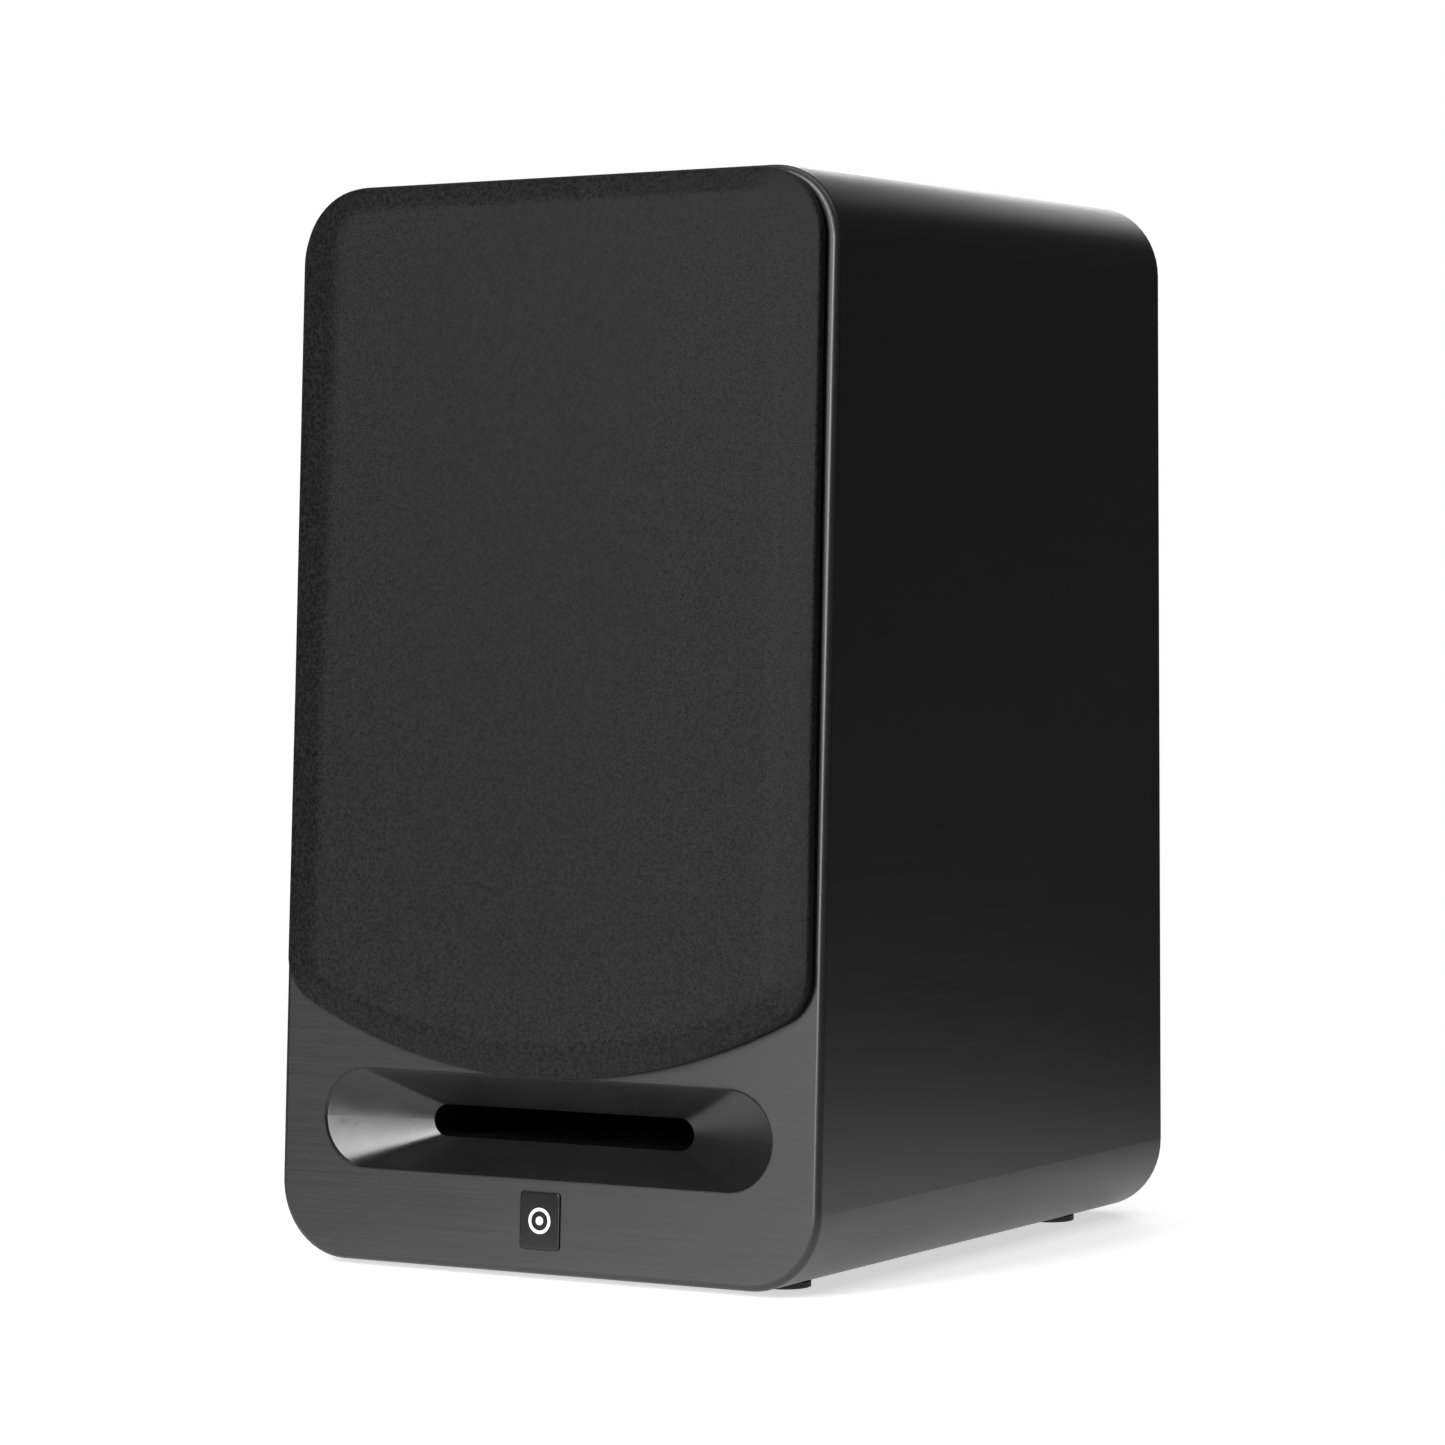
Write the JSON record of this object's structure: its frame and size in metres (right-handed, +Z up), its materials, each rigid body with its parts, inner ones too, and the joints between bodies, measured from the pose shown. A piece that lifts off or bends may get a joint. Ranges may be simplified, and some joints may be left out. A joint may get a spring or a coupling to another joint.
{
  "type": "bookshelf speaker",
  "caption": "Two-way bookshelf speaker: raked front with a slot port, magnetic cloth grille over a woofer and dome tweeter, screw terminals behind.",
  "frame": {"origin": "under the middle of the speaker's box, on the surface that its feet stand on", "axes": "+Z up, the front with its grille faces -Y, +X to the right seen from the front"},
  "size_m": [0.177, 0.212, 0.305],
  "materials": {
    "cabinet_vinyl": "satin black foil over fibreboard with a fine straight grain",
    "grille_cloth": "black woven acoustic cloth",
    "moulded_black": "fine-textured black moulding",
    "badge_plate": "dark smooth plate",
    "badge_mark": "satin silver",
    "rubber": "soft black rubber",
    "cone": "fibre-filled black cone",
    "silk": "coated silk",
    "former": "thin aluminium foil",
    "copper": "enamelled copper wire",
    "spider": "resin-stiffened cotton",
    "basket_paint": "black powder coat",
    "ferrite": "sintered ferrite",
    "zinc_steel": "bright zinc plate",
    "nickel": "nickel plate",
    "black_screws": "black oxide",
    "gilt_brass": "gold-flashed brass",
    "red_plastic": "red acetal",
    "black_plastic": "black acetal",
    "board": "green laminate",
    "nylon": "natural nylon",
    "capacitor": "yellow film capacitor wrap",
    "cement": "white cement resistor body",
    "lead_insulation": "soft insulated stranded lead",
    "wadding": "loose polyester filling"
  },
  "bodies": {
    "cabinet": {"cabinet_shell": "cabinet_vinyl", "front_baffle": "cabinet_vinyl", "rear_panel": "cabinet_vinyl", "rubber_feet": "rubber", "baffle_magnets": "nickel", "port_flare": "moulded_black", "port_duct": "moulded_black", "badge_plate": "badge_plate", "badge_emblem": "badge_mark", "woofer_basket": "basket_paint", "woofer_surround": "rubber", "woofer_gasket": "rubber", "woofer_spider": "spider", "woofer_top_plate": "zinc_steel", "woofer_magnet": "ferrite", "woofer_yoke": "zinc_steel", "woofer_screws": "black_screws", "woofer_tag_strip": "moulded_black", "tweeter_faceplate": "moulded_black", "tweeter_surround": "silk", "tweeter_top_plate": "zinc_steel", "tweeter_magnet": "ferrite", "tweeter_yoke": "zinc_steel", "tweeter_screws": "black_screws", "tweeter_tag_strip": "moulded_black", "terminal_cup": "moulded_black", "terminal_studs": "gilt_brass", "terminal_hex_nuts": "zinc_steel", "red_collar": "red_plastic", "black_collar": "black_plastic", "terminal_screws": "black_screws", "crossover_board": "board", "board_standoffs": "nylon", "board_screws": "zinc_steel", "woofer_inductor": "copper", "tweeter_inductor": "copper", "capacitors": "capacitor", "resistors": "cement", "input_leads": "lead_insulation", "woofer_leads": "lead_insulation", "tweeter_leads": "lead_insulation", "damping_wadding": "wadding"},
    "grille": {"grille_frame": "moulded_black", "grille_cloth": "grille_cloth", "grille_magnets": "nickel"},
    "woofer_cone": {"woofer_cone": "cone", "woofer_dust_cap": "cone", "woofer_coil_former": "former", "woofer_voice_coil": "copper"},
    "tweeter_dome": {"tweeter_dome": "silk", "tweeter_voice_coil": "copper"},
    "red_washer": {"red_washer": "gilt_brass"},
    "red_nut": {"red_nut": "red_plastic"},
    "black_washer": {"black_washer": "gilt_brass"},
    "black_nut": {"black_nut": "black_plastic"}
  },
  "joints": [
    {"name": "grille_pull", "type": "slide", "parent": "cabinet", "child": "grille", "axis": [0, -0.9986, 0.0523], "range_m": [0, 0.06]},
    {"name": "woofer_travel", "type": "slide", "parent": "cabinet", "child": "woofer_cone", "axis": [0, -0.9986, 0.0523], "range_m": [-0.004, 0.004], "stiffness_N_per_m": 1200, "deforming": ["woofer_surround", "woofer_spider"]},
    {"name": "tweeter_travel", "type": "slide", "parent": "cabinet", "child": "tweeter_dome", "axis": [0, -0.9986, 0.0523], "range_m": [-0.0004, 0.0004], "stiffness_N_per_m": 3000, "deforming": ["tweeter_surround"]},
    {"name": "red_nut_travel", "type": "slide", "parent": "cabinet", "child": "red_washer", "axis": [0, 1, 0], "range_m": [0, 0.003]},
    {"name": "red_nut_turn", "type": "hinge", "parent": "red_washer", "child": "red_nut", "pos_m": [-0.0095, 0.09849, 0.0766], "axis": [0, 1, 0], "range_deg": [0, 1080]},
    {"name": "black_nut_travel", "type": "slide", "parent": "cabinet", "child": "black_washer", "axis": [0, 1, 0], "range_m": [0, 0.003]},
    {"name": "black_nut_turn", "type": "hinge", "parent": "black_washer", "child": "black_nut", "pos_m": [0.0095, 0.09849, 0.0766], "axis": [0, 1, 0], "range_deg": [0, 1080]}
  ],
  "couplings": [
    {"joint": "red_nut_turn", "follows": "red_nut_travel", "rad_per_m": 6283.2},
    {"joint": "black_nut_turn", "follows": "black_nut_travel", "rad_per_m": 6283.2}
  ]
}
